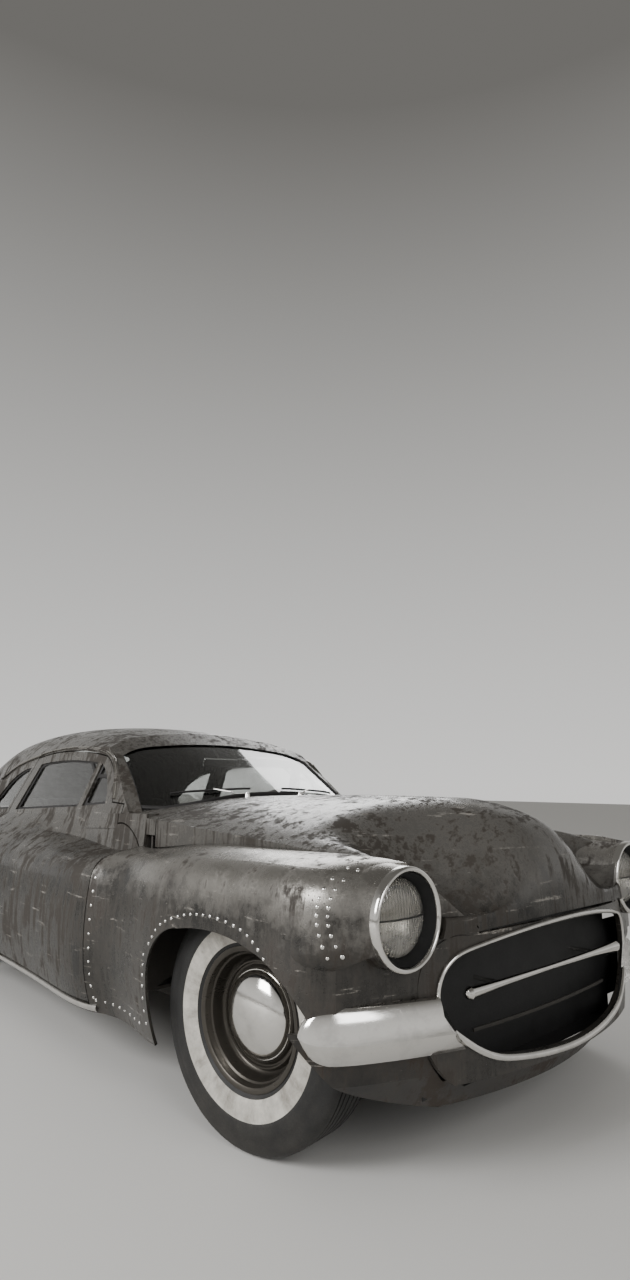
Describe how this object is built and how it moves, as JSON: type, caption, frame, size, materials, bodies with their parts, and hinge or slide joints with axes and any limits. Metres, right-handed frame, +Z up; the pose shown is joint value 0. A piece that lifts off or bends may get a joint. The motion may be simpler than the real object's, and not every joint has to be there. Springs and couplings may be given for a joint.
{
  "type": "custom coupe car",
  "caption": "Low chopped custom coupe with a long rounded nose, weathered body, opening doors, hood and boot, steered and rolling wheels.",
  "frame": {"origin": "middle of the car's length and width, on the ground", "axes": "the car faces -Y, +Z is up, +X is the car's left side"},
  "size_m": [1.9262, 4.8659, 1.3949],
  "materials": {
    "body_paint": "worn, weathered satin",
    "fender_paint": "worn, weathered satin",
    "rusty_paint": "rusty matt",
    "window_glass": "clear",
    "lamp_glass": "moulded",
    "tail_lens": "moulded",
    "chrome": "polished",
    "tyre": "matt",
    "wheel_paint": "satin",
    "chassis_paint": "matt",
    "cast_iron": "matt",
    "exhaust_steel": "dull",
    "floor_paint": "matt",
    "seat_cover": "satin",
    "dash_paint": "satin",
    "steering_plastic": "gloss",
    "mirror": "polished"
  },
  "bodies": {
    "body": {"bench_base": "floor_paint", "bumper_corners": "chrome", "bumper_rear": "chrome", "cowl": "body_paint", "dashboard": "dash_paint", "driveline": "cast_iron", "engine_block": "cast_iron", "exhaust": "exhaust_steel", "fascia": "rusty_paint", "fender_front_l": "fender_paint", "fender_front_r": "fender_paint", "floor_pan": "floor_paint", "frame": "chassis_paint", "front_bench": "seat_cover", "fuel_tank": "chassis_paint", "grille_bar": "chrome", "grille_surround": "chrome", "headlamp_lenses": "lamp_glass", "headlamp_rings": "chrome", "mirror": "mirror", "quarter_glass": "window_glass", "quarter_l": "body_paint", "quarter_r": "body_paint", "radiator": "chassis_paint", "rear_axle": "chassis_paint", "rear_bench": "seat_cover", "rear_bulkhead": "floor_paint", "rear_window": "window_glass", "roof": "body_paint", "steering_wheel": "steering_plastic", "suspension_arms": "chassis_paint", "tail_lamps": "tail_lens", "tail_panel": "rusty_paint", "valance": "rusty_paint", "windscreen": "window_glass"},
    "door_right": {"door_r": "body_paint", "door_glass_r": "window_glass"},
    "door_left": {"door_l": "body_paint", "door_glass_l": "window_glass"},
    "hood_lid": {"hood": "body_paint"},
    "boot": {"boot_lid": "body_paint"},
    "knuckle_right": {"knuckle_r": "chassis_paint"},
    "knuckle_left": {"knuckle_l": "chassis_paint"},
    "wheel_front_right": {"tyre_fr": "tyre", "wheel_fr": "wheel_paint"},
    "wheel_front_left": {"tyre_fl": "tyre", "wheel_fl": "wheel_paint"},
    "wheel_rear_right": {"tyre_rr": "tyre", "wheel_rr": "wheel_paint"},
    "wheel_rear_left": {"tyre_rl": "tyre", "wheel_rl": "wheel_paint"}
  },
  "joints": [
    {"name": "door_right_hinge", "type": "hinge", "parent": "body", "child": "door_right", "pos_m": [-0.948, -0.933, 0.5], "axis": [0, 0, 1], "range_deg": [0, 60]},
    {"name": "door_left_hinge", "type": "hinge", "parent": "body", "child": "door_left", "pos_m": [0.948, -0.933, 0.5], "axis": [0, 0, -1], "range_deg": [0, 60]},
    {"name": "hood_hinge", "type": "hinge", "parent": "body", "child": "hood_lid", "pos_m": [0, -1.003, 1.005], "axis": [-1, 0, 0], "range_deg": [0, 45]},
    {"name": "boot_hinge", "type": "hinge", "parent": "body", "child": "boot", "pos_m": [0, 1.7, 1.232], "axis": [1, 0, 0], "range_deg": [0, 55]},
    {"name": "steer_right", "type": "hinge", "parent": "body", "child": "knuckle_right", "pos_m": [-0.655, -1.75, 0.3655], "axis": [0, 0, 1], "range_deg": [-32.2, 15.8]},
    {"name": "steer_left", "type": "hinge", "parent": "body", "child": "knuckle_left", "pos_m": [0.655, -1.75, 0.3655], "axis": [0, 0, 1], "range_deg": [-32.2, 15.8]},
    {"name": "roll_front_right", "type": "hinge", "parent": "knuckle_right", "child": "wheel_front_right", "pos_m": [-0.73171, -1.76105, 0.3655], "axis": [0.9898, 0.1426, 0], "continuous": true},
    {"name": "roll_front_left", "type": "hinge", "parent": "knuckle_left", "child": "wheel_front_left", "pos_m": [0.73171, -1.73895, 0.3655], "axis": [0.9898, 0.1426, 0], "continuous": true},
    {"name": "roll_rear_right", "type": "hinge", "parent": "body", "child": "wheel_rear_right", "pos_m": [-0.7325, 1.2, 0.3655], "axis": [1, 0, 0], "continuous": true},
    {"name": "roll_rear_left", "type": "hinge", "parent": "body", "child": "wheel_rear_left", "pos_m": [0.7325, 1.2, 0.3655], "axis": [1, 0, 0], "continuous": true}
  ],
  "couplings": [
    {"joint": "steer_left", "follows": "steer_right", "ratio": 1}
  ]
}
